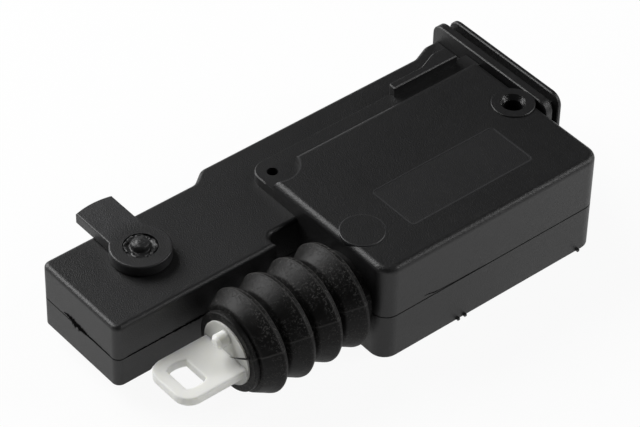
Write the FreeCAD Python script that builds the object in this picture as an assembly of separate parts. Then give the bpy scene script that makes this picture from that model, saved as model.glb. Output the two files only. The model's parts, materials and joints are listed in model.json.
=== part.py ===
import FreeCAD, Part
import math
import os

# A car door's central locking actuator: a two-part moulded housing with a narrow leg, a motor in
# the leg, a crown gear and a rack gear in the box, and a nylon slider that pushes an eye out of a
# rubber bellows. Millimetres. The origin is on the axis of the fixing hole, at the base face.
# +X runs from the leg to the connector, +Y to the far side, +Z up.

V = FreeCAD.Vector
tiny = 1e-4
past = 1.0
facing_x = FreeCAD.Rotation(V(0, 1, 0), V(0, 0, 1), V(1, 0, 0), "ZXY")

# Housing plan
wall = 1.7
body_length = 115.0
leg_length = 52.0
hole_to_end = 3.7
hole_to_near = 25.3
bellows_bay_width = 25.8
leg_width = 26.7
leg_corner_r = 1.8
box_corner_r = 3.8
jog_depth = 2.9
jog_start = 41.6
jog_run = 3.8
jog_r = 3.0
recess_length = 8.7
recess_depth = 3.5
recess_corner_r = 2.0
flare_depth = 2.0
flare_start = 6.6
flare_run = 4.6
box_end_width = 42.1
plate_width = 47.0

# Housing heights
parting_z = 12.0
leg_top = 21.3
plate_top = 23.7
box_top = 25.9
leg_pad_z = 4.4
leg_underside_z = 6.7
leg_pad_length = 9.5
leg_pad_r = 1.0
leg_edge_r = 1.1
box_edge_r = 1.5
box_far_r = 2.0
plate_corner_r = 4.0

# Seam between the shells
seam_width = 0.14
seam_depth = 0.5
seam_ledge = 0.15
seam_ledge_drop = 0.2
tongue_height = 1.0
tongue_thickness = 0.8
tongue_clearance = 0.1

# Fixing hole and top features
fixing_r = 2.1
fixing_sink_r = 2.95
fixing_sink_depth = 1.15
fixing_boss_r = 5.05
fixing_boss_rise = 0.3
plate_hole_r = 1.3
plate_hole_depth = 6.0
plate_hole_boss_r = 2.9
plate_hole_inset = 3.7
plate_hole_from_edge = 4.3
pocket_r = 6.1
disc_r = 5.1
disc_rise = 0.25
disc_from_near = 13.7
panel_length = 35.0
panel_width = 13.6
panel_depth = 0.12
panel_corner_r = 1.0
panel_inset = 13.1
panel_from_near = 8.5
bar_length = 18.9
bar_width = 2.0
bar_gap = 3.4
bar_height = 2.65
bar_end_inset = 4.1
bar_wide_length = 4.1
bar_wide_extra = 2.1
bar_ramp = 5.0
bar_ramp_r = 2.5
bar_corner_r = 0.5
edge_bevel = 0.25
fine_bevel = 0.12

# Connector end
flange_gap = 1.5
flange_1_thickness = 2.2
flange_groove = 1.9
flange_2_thickness = 1.2
flange_overhang = 1.2
flange_width = 38.8
flange_2_near_inset = 0.4
flange_2_far_inset = 1.2
flange_bottom = 2.4
flange_corner_r = 3.0
groove_depth = 2.5
neck_clearance = 0.1
neck_to_column = 0.55
neck_to_wall = 0.5
socket_back = 2.0
keeper_lip = 1.2
keeper_thickness = 2.0
socket_height = 12.0
socket_wall = 1.5
socket_depth = 13.0
socket_corner_r = 1.5
terminal_width = 2.8
terminal_thickness = 0.8
terminal_count = 4
terminal_side_gap = 2.75
terminal_reach = 8.5
terminal_tail = 4.0
terminal_tail_length = 1.2
terminal_nose_r = 0.3
terminal_slot_clearance = 0.04

# Slider, with its rack
rod_off_bay_middle = 0.1
rod_z = 13.0
rod_r = 4.5
running_clearance = 0.08
stroke = 17.0
collar_r = 7.5
collar_thickness = 1.6
collar_to_box = 32.9
cuff_groove_r = 6.6
cuff_groove_width = 1.8
cuff_flange_r = 7.2
cuff_flange_width = 1.0
knob_r = 1.7
knob_length = 3.1
knob_rise = 4.8
knob_bevel = 0.7
rack_module = 1.25
rack_bar_height = 9.0
rack_bar_back = 4.5
rack_bar_end = 29.4
rack_teeth_lead = 1.2
rack_root_step = 0.5
free_gap = 0.3
guide_rib_first = 6.0
guide_rib_second = 17.0

# Eye tab
tab_length = 16.2
tab_width = 14.0
tab_thickness = 2.2
tab_drop = 0.7
tab_corner_r = 3.9
tab_edge_r = 0.4
eye_length = 5.2
eye_width = 8.0
eye_flat = 6.7
eye_inset = 3.0
tongue_length = 7.5
tongue_width = 7.0
tongue_fit = 0.05

# Bellows
bellows_side_gap = 0.4
bellows_wall = 1.1
bellows_folds = 4
bellows_pitch = 7.5
bellows_first = 6.3
bellows_gap = 0.05
fold_foot = 4.1
fold_foot_drop = 2.2
fold_shoulder = 0.6
fold_shoulder_drop = 0.25
fold_nose = 0.7
fold_nose_drop = 0.3
fold_brow = 1.2
fold_brow_drop = 0.8
fold_back = 2.3
valley_width = 0.6
lip_r = 9.4
lip_width = 1.2
lip_inset = 0.4
spigot_r = 7.6
spigot_length = 3.2
cuff_wall = 1.4

# Stops
stop_pad_thickness = 0.9
stop_pad_r = 7.0
rear_pad_thickness = 1.5
rear_rib_thickness = 1.6
rear_pad_inset = 0.5
rear_pad_z = 9.0
rear_pad_height = 4.0

# Gears
pin_r = 1.25
pin_seat_clearance = 0.02
pin_bevel = 0.3
rack_gear_teeth = 10
train_module = 0.8
small_teeth = 10
motor_teeth = 8
motor_hub_length = 2.0
crown_tooth_length = 3.0
tooth_root_overlap = 0.2
addendum = 0.8
dedendum = 1.1
flank_clearance = 0.2
pressure_angle = 20.0
flank_points = 3
rack_gear_from_end = 38.0
train_slant = 77.0
crown_to_boss = 0.35
wheel_thickness = 2.8
gear_hub_r = 4.3
crown_disc_thickness = 2.2
crown_hub_r = 3.2
boss_r = 3.5
slim_boss_r = 2.1

# Motor
motor_length = 24.5
motor_r = 7.75
motor_flat = 11.2
motor_bevel = 0.7
motor_axis_z = 14.0
motor_from_box = 1.0
motor_boss_r = 3.0
motor_boss_length = 1.5
motor_cap_thickness = 2.5
motor_cap_step = 0.4
shaft_r = 1.0
shaft_fit = 0.05
shaft_tail = 1.2
bush_r = 2.0
bush_length = 1.8
bearing_post_width = 5.0
bearing_post_z = 11.8
bush_gap = 0.4
cradle_thickness = 1.6
cradle_gap = 0.1
cradle_inset = 3.0
lead_width = 1.8
lead_thickness = 0.5
lead_gap = 0.6
lead_rise = 0.8
lead_wall_gap = 0.3
lead_touch = 0.05
lead_from_axis = 2.5
lead_step = 1.2
lead_past_jog = 4.0

# Switch board and wiper
board_thickness = 1.6
board_rest_z = 3.0
board_margin = 0.5
board_length = 22.4
board_width = 32.5
board_notch_length = 3.2
board_notch_width = 7.4
board_rest_width = 1.6
board_rest_inset = 2.5
board_corner_r = 1.0
wiper_thickness = 0.4
wiper_width = 5.0
wiper_plate = 3.8
wiper_touch = 0.05
wiper_lead = 0.5

# Retaining lever
lever_from_end = 18.1
lever_offset = 1.9
lever_head_r = 6.9
lever_arm_width = 9.6
lever_reach = 17.5
lever_thickness = 2.6
lever_edge_r = 0.35
lever_recess_r = 3.9
lever_recess_depth = 1.2
post_r = 1.75
post_root = 5.0
post_floor = 1.0
post_rise = 1.4
post_head_r = 3.5
post_head_thickness = 0.8
post_bevel = 0.4

# Gate marks along the base's near edge
gate_size = 0.6
gate_places = [-37.8, -35.8, -1.8]

# Places that follow from the sizes above
x_end = hole_to_end
x_leg = x_end - body_length
x_box = x_leg + leg_length
y_near = -hole_to_near
y_leg = y_near + bellows_bay_width
y_leg_far = y_leg + leg_width
y_far = y_leg_far + jog_depth
y_flare = y_far + flare_depth
y_box_far = y_near + box_end_width
y_plate_far = y_near + plate_width
x_flange = x_end + flange_gap
x_shelf = x_flange - neck_clearance
x_mouth = x_flange + flange_1_thickness + flange_groove + flange_2_thickness
x_socket_back = x_mouth - socket_depth
x_neck = x_socket_back - socket_back
neck_near = fixing_boss_r + neck_to_column
neck_far = y_far - wall - neck_to_wall
socket_width = neck_far - neck_near - 2 * socket_wall
socket_y = (neck_near + neck_far) / 2
terminal_pitch = (socket_width - 2 * terminal_side_gap) / (terminal_count - 1)
y_rod = y_near + bellows_bay_width / 2 - rod_off_bay_middle
bellows_r = bellows_bay_width / 2 - bellows_side_gap
x_collar = x_box - collar_to_box
x_shoulder = x_box + wall + stop_pad_thickness + free_gap
x_bar_end = x_shoulder + rack_bar_end
leg_mid_y = (y_leg + y_leg_far) / 2
hole_x = x_box + plate_hole_inset
hole_y = y_plate_far - plate_hole_from_edge

rack_pitch_r = rack_module * rack_gear_teeth / 2
small_r = train_module * small_teeth / 2
motor_pinion_r = train_module * motor_teeth / 2
rack_pitch_y = y_rod + rack_bar_back + rack_module * dedendum - rack_root_step
rack_gear_pos = V(x_end - rack_gear_from_end, rack_pitch_y + rack_pitch_r, 0)
motor_y = leg_mid_y
gear_dy = motor_y - rack_gear_pos.y
train_teeth = math.ceil(2 * gear_dy / math.sin(math.radians(train_slant)) / train_module)
train_distance = train_module * train_teeth / 2
wheel_teeth = train_teeth - small_teeth
crown_reach = train_distance - slim_boss_r - crown_to_boss
crown_teeth = math.floor((2 * crown_reach - crown_tooth_length) / train_module)
crown_r = train_module * crown_teeth / 2
crown_pos = V(rack_gear_pos.x + math.sqrt(train_distance ** 2 - gear_dy ** 2), motor_y, 0)
crown_pitch_z = motor_axis_z - motor_pinion_r
crown_disc_top = crown_pitch_z - train_module * dedendum
crown_disc_z = crown_disc_top - crown_disc_thickness
rack_bottom = rod_z - rack_bar_height / 2
rack_top = rod_z + rack_bar_height / 2
wheel_z = motor_axis_z + motor_pinion_r + train_module * addendum + 2 * free_gap
wheel_top = wheel_z + wheel_thickness
motor_front = x_box - motor_from_box
motor_back = motor_front - motor_length
pinion_x = crown_pos.x - crown_r - crown_tooth_length / 2


def box(x0, x1, y0, y1, z0, z1):
    """A block between two corners."""
    return Part.makeBox(x1 - x0, y1 - y0, z1 - z0, V(x0, y0, z0))


def rod(radius, start, axis, length):
    """A cylinder from a point, along an axis."""
    return Part.makeCylinder(radius, length, start, axis)


def tube(outer, inner, start, axis, length):
    """A cylinder with a bore."""
    return rod(outer, start, axis, length).cut(rod(inner, start, axis, length))


def outline(corners):
    """A closed wire in the plane z = 0 through (x, y, radius) corners, each rounded by its radius."""
    count = len(corners)
    ends = []
    for i, (x, y, r) in enumerate(corners):
        here = V(x, y, 0)
        before = V(*corners[i - 1][:2], 0) - here
        after = V(*corners[(i + 1) % count][:2], 0) - here
        before.normalize()
        after.normalize()
        if r == 0:
            ends.append((here, None, here))
            continue
        half = before.getAngle(after) / 2
        cut = r / math.tan(half)
        inward = before + after
        inward.normalize()
        middle = here + inward * (r / math.sin(half) - r)
        ends.append((here + before * cut, middle, here + after * cut))
    edges = []
    for i, (start, middle, stop) in enumerate(ends):
        if middle is not None:
            edges.append(Part.Arc(start, middle, stop).toShape())
        following = ends[(i + 1) % count][0]
        if stop.distanceToPoint(following) > tiny:
            edges.append(Part.makeLine(stop, following))
    return Part.Wire(edges)


def prism(wire, z0, z1):
    """A wire in z = 0, raised from z0 to z1."""
    face = Part.Face(wire)
    face.translate(V(0, 0, z0))
    return face.extrude(V(0, 0, z1 - z0))


def fillet_where(shape, radius, chosen):
    """Rounds the edges whose middle point is chosen."""
    edges = []
    for edge in shape.Edges:
        middle = edge.valueAt((edge.FirstParameter + edge.LastParameter) / 2)
        if chosen(middle):
            edges.append(edge)
    return shape.makeFillet(radius, edges)


def bevel_where(shape, size, chosen):
    """Bevels the edges whose middle point is chosen."""
    edges = []
    for edge in shape.Edges:
        middle = edge.valueAt((edge.FirstParameter + edge.LastParameter) / 2)
        if chosen(middle):
            edges.append(edge)
    return shape.makeChamfer(size, edges)


def round_top(shape, z, radius, chosen=lambda p: True):
    """Rounds the edges that lie at height z."""
    return fillet_where(shape, radius, lambda p: abs(p.z - z) < tiny and chosen(p))


def one(shape):
    """The shape with split faces joined again, as a single solid where it is one."""
    shape = shape.removeSplitter()
    return shape.Solids[0] if len(shape.Solids) == 1 else shape


def fuse(first, *others):
    """All shapes as one."""
    return first.fuse(list(others)) if others else first


def body_plan():
    """The housing's outline at the parting plane: leg, jogged far side, flared end, box and bellows bay."""
    jog_x = x_leg + jog_start
    flare_x = x_end - flare_start
    return outline([
        (x_leg, y_leg, leg_corner_r),
        (x_leg, y_leg_far, leg_corner_r),
        (jog_x, y_leg_far, jog_r),
        (jog_x + jog_run, y_far, jog_r),
        (flare_x, y_far, jog_r),
        (flare_x + flare_run, y_flare, jog_r),
        (x_shelf, y_flare, 0),
        (x_shelf, y_box_far, 0),
        (x_end, y_box_far, 0),
        (x_end, y_near, box_corner_r),
        (x_box, y_near, box_corner_r),
        (x_box, y_leg + recess_depth, 0),
        (x_box - recess_length, y_leg + recess_depth, recess_corner_r),
        (x_box - recess_length, y_leg, 0),
    ])


def inner_plan(inset):
    """The housing's outline drawn in by a distance."""
    return body_plan().makeOffset2D(-inset, 2)


def outer_body():
    """The outside of both shells in one solid."""
    low = prism(body_plan(), 0, leg_top)

    def free_edge(p):
        return p.x < x_end - tiny and (p.y > y_box_far or p.x < x_box)
    low = round_top(low, leg_top, leg_edge_r, free_edge)
    leg_air = box(x_leg - past, x_box, y_near, y_flare, -past, leg_pad_z)
    leg_air = leg_air.fuse(box(x_leg + leg_pad_length, x_box, y_near, y_flare, -past, leg_underside_z))

    def pad_edge(p):
        return abs(p.x - x_leg - leg_pad_length) < tiny and abs(p.z - leg_pad_z) < tiny
    leg_air = fillet_where(leg_air, leg_pad_r, pad_edge)
    low = low.cut(leg_air)
    block = prism(outline([
        (x_box, y_near, box_corner_r),
        (x_end, y_near, box_corner_r),
        (x_end, y_box_far, box_far_r),
        (x_box, y_box_far, box_far_r),
    ]), parting_z, box_top)
    block = round_top(block, box_top, box_edge_r)
    pocket = rod(pocket_r, V(hole_x, hole_y, plate_top), V(0, 0, 1), box_top)
    block = block.cut(pocket)
    plate = prism(outline([
        (x_box, 0, 0),
        (x_shelf, 0, 0),
        (x_shelf, y_plate_far, 0),
        (x_box, y_plate_far, plate_corner_r),
    ]), parting_z, plate_top)
    plate = bevel_where(plate, edge_bevel, lambda p: abs(p.z - plate_top) < tiny and p.y > y_box_far)
    plate = plate.cut(box(x_end, x_shelf + past, -past, y_box_far, 0, box_top))
    disc_foot = V(x_box + disc_r, y_near + disc_from_near, parting_z)
    disc = rod(disc_r, disc_foot, V(0, 0, 1), box_top + disc_rise - parting_z)
    disc = bevel_where(disc, fine_bevel, lambda p: abs(p.z - box_top - disc_rise) < tiny)
    boss = rod(fixing_boss_r, V(0, 0, 0), V(0, 0, 1), box_top + fixing_boss_rise)
    boss = bevel_where(boss, fine_bevel, lambda p: abs(p.z - box_top - fixing_boss_rise) < tiny)
    return fuse(low, block, plate, disc, boss, rib_bar())


def rib_bar():
    """The raised bar beside the box top, wider at its connector end."""
    right = x_shelf - bar_end_inset
    left = right - bar_length
    y0 = y_box_far + bar_gap
    y1 = y0 + bar_width
    y2 = y1 + bar_wide_extra
    top = plate_top + bar_height
    bar = prism(outline([
        (left, y0, 0),
        (right, y0, 0),
        (right, y2, bar_corner_r),
        (right - bar_wide_length, y2, bar_ramp_r),
        (right - bar_wide_length - bar_ramp, y1, bar_ramp_r),
        (left, y1, bar_corner_r),
    ]), parting_z + wall, top)
    return bevel_where(bar, edge_bevel, lambda p: abs(p.z - top) < tiny)


def cavity():
    """The hollow inside both shells."""
    hollow = prism(inner_plan(wall), wall, box_top - wall)
    everywhere = [x_leg, x_flange, y_near, y_flare]
    pocket = rod(pocket_r + wall, V(hole_x, hole_y, plate_top - wall), V(0, 0, 1), box_top)
    rooms = [
        box(x_leg, x_box + wall, y_near, y_flare, leg_underside_z + wall, leg_top - wall),
        box(x_box + wall, x_flange, y_near, y_flare, 0, leg_top - wall),
        box(x_box + wall, x_flange, y_near, y_plate_far - wall, 0, plate_top - wall),
        box(x_box + wall, x_flange, y_near, y_box_far - wall, 0, box_top),
    ]
    return hollow.common(fuse(*rooms)).cut(pocket)


def neck_size(clearance):
    """The connector neck's block, grown by a clearance."""
    tall = socket_height / 2 + socket_wall + clearance
    return [neck_near - clearance, neck_far + clearance, parting_z - tall, parting_z + tall]


def neck_block(x0, x1, clearance):
    """The neck between two stations."""
    y0, y1, z0, z1 = neck_size(clearance)
    return box(x0, x1, y0, y1, z0, z1)


def pin_span(place):
    """Bottom and top of a gear pin, from above the base's floor to half a wall into the cover."""
    ceiling = box_top if place.y < y_box_far - wall - boss_r else plate_top
    return wall * 2, ceiling - wall / 2


def motor_outline(gap):
    """The motor can's flat-sided section, grown by a gap, along X."""
    start = motor_back - motor_cap_thickness - past
    stop = motor_front + past
    round_part = rod(motor_r + gap, V(start, motor_y, motor_axis_z), V(1, 0, 0), stop - start)
    flat = motor_flat / 2 + gap
    return round_part.common(box(start, stop, y_leg, y_leg_far, motor_axis_z - flat, motor_axis_z + flat))


def cradle_ribs():
    """Ribs across the leg that hold the motor can."""
    ribs = []
    for x in (motor_back + cradle_inset, motor_front - cradle_inset - cradle_thickness):
        ribs.append(box(x, x + cradle_thickness, y_leg, y_leg_far, leg_underside_z, leg_top))
    ribs = fuse(*ribs).cut(motor_outline(cradle_gap))
    return ribs.cut(lead_channel())


def lead_channel():
    """Room for the motor leads along the leg's far wall."""
    return box(motor_back, motor_front, motor_y + motor_flat / 2, y_leg_far - wall, parting_z, leg_top - wall)


def spigot():
    """The ring on the box's end that the bellows' cuff is stretched over."""
    start = V(x_box - spigot_length, y_rod, rod_z)
    return rod(spigot_r, start, V(1, 0, 0), spigot_length + wall)


def base_inside():
    """Bosses, guides and rests in the lower shell."""
    parts = []
    floor = wall / 2
    bosses = [(rack_gear_pos, slim_boss_r, pinion_z()), (crown_pos, boss_r, crown_disc_z)]
    for place, radius, gear_bottom in bosses:
        parts.append(rod(radius, V(place.x, place.y, floor), V(0, 0, 1), gear_bottom - free_gap - floor))
    guide_y = y_rod - rack_bar_back - free_gap
    parts.append(box(x_shoulder, x_bar_end + stroke, guide_y - wall, guide_y, floor, parting_z))
    for x in (x_shoulder + guide_rib_first, x_shoulder + guide_rib_second):
        guide_end_y = y_rod + rack_bar_back / 2
        parts.append(box(x, x + wall, guide_y - wall, guide_end_y, floor, rack_bottom - free_gap))
    y0, y1 = board_span()
    x0, x1 = board_run()
    for x in (x0 + board_notch_length + board_rest_inset, x1 - board_rest_inset - board_rest_width):
        parts.append(box(x, x + board_rest_width, y0 + board_margin, y1 - board_margin, floor, board_rest_z))
    return parts


def cover_inside():
    """Bosses and the shaft's bearing post in the upper shell."""
    parts = []
    for place in (rack_gear_pos, crown_pos):
        foot = wheel_top + free_gap
        parts.append(rod(boss_r, V(place.x, place.y, foot), V(0, 0, 1), pin_span(place)[1] - foot))
    stop_x = x_bar_end + stroke + free_gap + rear_pad_thickness
    half = rack_bar_back - rear_pad_inset
    across = [y_rod - half, y_rod + half]
    parts.append(box(stop_x, stop_x + rear_rib_thickness, *across, rear_pad_z, box_top - wall / 2))
    x = bush_start()
    half = bearing_post_width / 2
    post_top = plate_top - wall / 2
    parts.append(box(x, x + bush_length, motor_y - half, motor_y + half, bearing_post_z, post_top))
    depth = plate_top - plate_hole_depth - wall
    parts.append(rod(plate_hole_boss_r, V(hole_x, hole_y, depth), V(0, 0, 1), plate_hole_depth))
    return parts


def bush_start():
    """Where the shaft's bush begins, past the motor pinion."""
    return pinion_x + crown_tooth_length + bush_gap


def holes():
    """What is cut through both shells together."""
    cuts = []
    top = box_top + fixing_boss_rise
    cuts.append(rod(fixing_r, V(0, 0, -past), V(0, 0, 1), top + 2 * past))
    cuts.append(Part.makeCone(fixing_r, fixing_sink_r, fixing_sink_depth, V(0, 0, top - fixing_sink_depth)))
    bore_start = V(x_box - spigot_length - past, y_rod, rod_z)
    cuts.append(rod(rod_r + running_clearance, bore_start, V(1, 0, 0), spigot_length + wall + 2 * past))
    cuts.append(neck_block(x_end - wall - past, x_flange + past, neck_clearance))
    hole_floor = V(hole_x, hole_y, plate_top - plate_hole_depth)
    cuts.append(rod(plate_hole_r, hole_floor, V(0, 0, 1), plate_hole_depth + past))
    for place in (rack_gear_pos, crown_pos):
        low, high = pin_span(place)
        cuts.append(rod(pin_r + pin_seat_clearance, V(place.x, place.y, low), V(0, 0, 1), high - low))
    bush_seat = V(bush_start() - past, motor_y, motor_axis_z)
    cuts.append(rod(bush_r + pin_seat_clearance, bush_seat, V(1, 0, 0), bush_length + 2 * past))
    lever = lever_place()
    post_seat = V(lever.x, lever.y, leg_top - post_root)
    cuts.append(rod(post_r + pin_seat_clearance, post_seat, V(0, 0, 1), post_root + past))
    right = x_end - panel_inset
    near = y_near + panel_from_near
    cuts.append(prism(outline([
        (right - panel_length, near, panel_corner_r),
        (right, near, panel_corner_r),
        (right, near + panel_width, panel_corner_r),
        (right - panel_length, near + panel_width, panel_corner_r),
    ]), box_top - panel_depth, box_top + past))
    return cuts


def lever_place():
    """The retaining lever's axis on the leg's top."""
    return V(x_leg + lever_from_end, leg_mid_y + lever_offset, leg_top)


def post_socket():
    """The boss under the leg's top that holds the lever's post."""
    lever = lever_place()
    return rod(boss_r, V(lever.x, lever.y, leg_top - post_root - post_floor), V(0, 0, 1), post_root)


def shells():
    """The two shells: one body, hollowed, fitted out and parted, with a tongue along the seam."""
    body = outer_body()
    column = rod(fixing_boss_r, V(0, 0, 0), V(0, 0, 1), box_top)
    shell = body.cut(cavity())
    inside = [column, cradle_ribs(), post_socket()]
    upper = fuse(shell, spigot(), fuse(*inside, *cover_inside()).common(body))
    lower = fuse(shell, spigot(), fuse(*inside, *base_inside()).common(body))
    everything = fuse(*holes())
    upper = upper.cut(everything)
    lower = lower.cut(everything)
    limits = [x_leg - past, x_flange + past, y_near - past, y_flare + past]
    seam = prism(body_plan(), parting_z - seam_width / 2, parting_z + seam_width / 2)
    seam = seam.cut(prism(inner_plan(seam_depth), 0, box_top))
    base = lower.common(box(*limits, -past, parting_z)).cut(seam)
    cover = upper.common(box(*limits, parting_z, box_top + bar_height)).cut(seam)
    keep = neck_block(x_end - 3 * wall, x_flange + past, neck_clearance)
    half = spigot_r + past
    keep = keep.fuse(box(x_box - spigot_length, x_box + 2 * wall, y_rod - half, y_rod + half, 0, box_top))
    inset = wall - tongue_thickness
    tongue = prism(inner_plan(inset), parting_z, parting_z + tongue_height)
    tongue = tongue.cut(prism(inner_plan(wall), 0, box_top)).cut(keep)
    groove_top = parting_z + tongue_height + tongue_clearance
    groove = prism(inner_plan(inset - tongue_clearance), parting_z, groove_top)
    groove = groove.cut(prism(inner_plan(wall + tongue_clearance), 0, box_top)).cut(keep)
    ledge = prism(body_plan(), parting_z - seam_width / 2 - seam_ledge_drop, parting_z)
    ledge = ledge.cut(prism(inner_plan(seam_ledge), 0, box_top))
    base = base.cut(ledge).fuse(tongue)
    cover = cover.cut(groove)
    gates = []
    for x in gate_places:
        gates.append(box(x, x + gate_size, y_near - gate_size, y_near + gate_size, 0, gate_size))
    return one(fuse(base, *gates)), one(cover)


def flange(x0, thickness, near, far, top):
    """One of the connector's two flanges, a rounded plate across X."""
    height = top - flange_bottom
    wire = outline([
        (0, 0, flange_corner_r),
        (far - near, 0, flange_corner_r),
        (far - near, height, flange_corner_r),
        (0, height, flange_corner_r),
    ])
    plate = Part.Face(wire).extrude(V(0, 0, thickness))
    plate = bevel_where(plate, edge_bevel, lambda p: p.z < tiny or p.z > thickness - tiny)
    plate.Placement = FreeCAD.Placement(V(x0, near, flange_bottom), facing_x)
    return plate


def socket_cavity():
    """The room that the plug goes into."""
    half_w = socket_width / 2
    half_h = socket_height / 2
    across = [socket_y - half_w, socket_y + half_w]
    block = box(x_socket_back, x_mouth + past, *across, parting_z - half_h, parting_z + half_h)

    def corner(p):
        return abs(abs(p.y - socket_y) - half_w) < tiny and abs(abs(p.z - parting_z) - half_h) < tiny
    return fillet_where(block, socket_corner_r, corner)


def connector_shroud():
    """Socket, neck and the two flanges with the groove for the door's sheet between them."""
    far = y_flare + flange_overhang
    near = far - flange_width
    x1 = x_flange + flange_1_thickness
    x2 = x1 + flange_groove
    first = flange(x_flange, flange_1_thickness, near, far, box_top)
    second = flange(x2, flange_2_thickness, near + flange_2_near_inset, far - flange_2_far_inset, box_top)
    across = [near + groove_depth, far - groove_depth]
    core = box(x1, x2, *across, flange_bottom + groove_depth, box_top - groove_depth)
    neck = neck_block(x_neck, x_flange, 0)
    y0, y1, z0, z1 = neck_size(0)
    y1 = y_plate_far - wall - free_gap
    inside = x_end - wall
    keeper = box(inside - keeper_thickness, inside - neck_clearance, y0, y1, z0 - keeper_lip, z1 + keeper_lip)
    shroud = fuse(first, core, second, neck, keeper).cut(socket_cavity())
    for blade in terminal_blades(terminal_slot_clearance):
        shroud = shroud.cut(blade)
    return one(shroud)


def terminal_y(i):
    """The middle of a terminal across the body."""
    return socket_y + (i - (terminal_count - 1) / 2) * terminal_pitch


def terminal_blades(clearance):
    """The straight part of each terminal, grown by a clearance."""
    blades = []
    for i in range(terminal_count):
        y = terminal_y(i)
        blades.append(box(
            x_neck - terminal_tail, x_socket_back + terminal_reach,
            y - terminal_thickness / 2 - clearance, y + terminal_thickness / 2 + clearance,
            parting_z - terminal_width / 2 - clearance, parting_z + terminal_width / 2 + clearance,
        ))
    return blades


def lead_levels():
    """Heights of the two motor leads."""
    first = parting_z + terminal_width / 2 + lead_rise
    return [first, first + lead_width + lead_gap]


def terminals():
    """Four blades: two with tails down to the switch board, two with tails up to the motor leads."""
    tail_x = x_neck - terminal_tail
    board_top = board_rest_z + board_thickness
    result = []
    for i, blade in enumerate(terminal_blades(0)):
        y = terminal_y(i)
        side = [y - terminal_thickness / 2, y + terminal_thickness / 2]
        if i < terminal_count / 2:
            tail = box(tail_x, tail_x + terminal_tail_length, *side, board_top, parting_z)
        else:
            level = lead_levels()[terminal_count - 1 - i] + lead_width
            tail = box(tail_x, tail_x + terminal_tail_length, *side, parting_z, level)
        tip_x = blade.BoundBox.XMax
        nose = fillet_where(blade.fuse(tail), terminal_nose_r, lambda p: abs(p.x - tip_x) < tiny)
        result.append(one(nose))
    return result


def motor_leads():
    """Two flat strips from the motor's cap along the far wall to the upper terminals."""
    tail_x = x_neck - terminal_tail
    cap_x = motor_back - motor_cap_thickness
    leg_y = y_leg_far - wall - lead_wall_gap - lead_thickness
    box_y = y_far - wall - lead_wall_gap - lead_thickness
    turn_x = x_leg + jog_start + jog_run + lead_past_jog
    result = []
    for i, z in enumerate(lead_levels()):
        levels = [z, z + lead_width]
        end_y = terminal_y(terminal_count - 1 - i) + terminal_thickness / 2 + lead_touch
        cap_y = motor_y + lead_from_axis
        start = cap_x - lead_gap - lead_thickness - lead_step * (1 - i)
        strips = [
            box(start, start + lead_thickness, cap_y, leg_y + lead_thickness, *levels),
            box(start, turn_x, leg_y, leg_y + lead_thickness, *levels),
            box(turn_x - lead_thickness, turn_x, leg_y, box_y + lead_thickness, *levels),
            box(turn_x - lead_thickness, tail_x + lead_thickness, box_y, box_y + lead_thickness, *levels),
            box(tail_x, tail_x + lead_thickness, end_y, box_y + lead_thickness, *levels),
        ]
        strips.append(box(start, cap_x - lead_touch, cap_y, cap_y + lead_thickness, *levels))
        result.append(one(fuse(*strips)))
    return result


def board_span():
    """Near and far edges of the switch board."""
    near = y_rod - rack_bar_back + board_margin
    return near, near + board_width


def board_run():
    """Left and right ends of the switch board."""
    right = -fixing_boss_r - board_margin
    return right - board_length, right


def switch_board():
    """The plate with the tracks that the wiper runs on."""
    y0, y1 = board_span()
    x0, x1 = board_run()
    return prism(outline([
        (x0, y0, board_corner_r),
        (x1, y0, board_corner_r),
        (x1, y1, board_corner_r),
        (x0 + board_notch_length, y1, board_corner_r),
        (x0 + board_notch_length, y1 - board_notch_width, board_corner_r),
        (x0, y1 - board_notch_width, board_corner_r),
    ]), board_rest_z, board_rest_z + board_thickness)


def wiper_spring():
    """A bent strip under the slider's end that slides along the board."""
    plate_z = rack_bottom - wiper_touch - wiper_thickness
    tip_z = board_rest_z + board_thickness + free_gap
    tip_x = x_bar_end + wiper_lead
    heel_x = x_bar_end - wiper_lead
    start_x = heel_x - wiper_plate
    t = wiper_thickness
    profile = [
        V(start_x, 0, plate_z), V(start_x, 0, plate_z + t), V(heel_x, 0, plate_z + t), V(heel_x, 0, plate_z),
        V(start_x + t, 0, plate_z), V(tip_x - t, 0, tip_z),
        V(tip_x + t, 0, tip_z), V(tip_x + t, 0, tip_z + t),
        V(tip_x, 0, tip_z + t), V(start_x + 3 * t, 0, plate_z),
    ]
    spring = []
    for corners in (profile[:4], profile[4:]):
        spring.append(Part.Face(Part.makePolygon(corners + corners[:1])).extrude(V(0, wiper_width, 0)))
    spring = fuse(*spring)
    spring.translate(V(0, y_rod - wiper_width / 2, 0))
    return one(spring)


def involute(angle):
    return math.tan(angle) - angle


def gear_wire(module, teeth, phase):
    """An involute gear's outline about the origin, with one tooth's middle at the phase, in degrees."""
    alpha = math.radians(pressure_angle)
    pitch_r = module * teeth / 2
    base_r = pitch_r * math.cos(alpha)
    tip_r = pitch_r + module * addendum
    root_r = pitch_r - module * dedendum
    half = math.pi / (2 * teeth) - flank_clearance / (2 * pitch_r)
    flank = []
    steps = flank_points
    start_r = max(base_r, root_r)
    for i in range(steps):
        r = start_r + (tip_r - start_r) * i / (steps - 1)
        angle = half + involute(alpha) - involute(math.acos(min(1.0, base_r / r)))
        flank.append((r, angle))
    if root_r < base_r:
        flank.insert(0, (root_r, flank[0][1]))
    points = []
    for k in range(teeth):
        middle = math.radians(phase) + 2 * math.pi * k / teeth
        for r, angle in flank:
            points.append(V(r * math.cos(middle - angle), r * math.sin(middle - angle), 0))
        for r, angle in reversed(flank):
            points.append(V(r * math.cos(middle + angle), r * math.sin(middle + angle), 0))
    return Part.makePolygon(points + points[:1])


def gear(module, teeth, phase, z0, z1, place):
    """A spur gear at a place."""
    solid = prism(gear_wire(module, teeth, phase), z0, z1)
    solid.translate(V(place.x, place.y, 0))
    return solid


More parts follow.
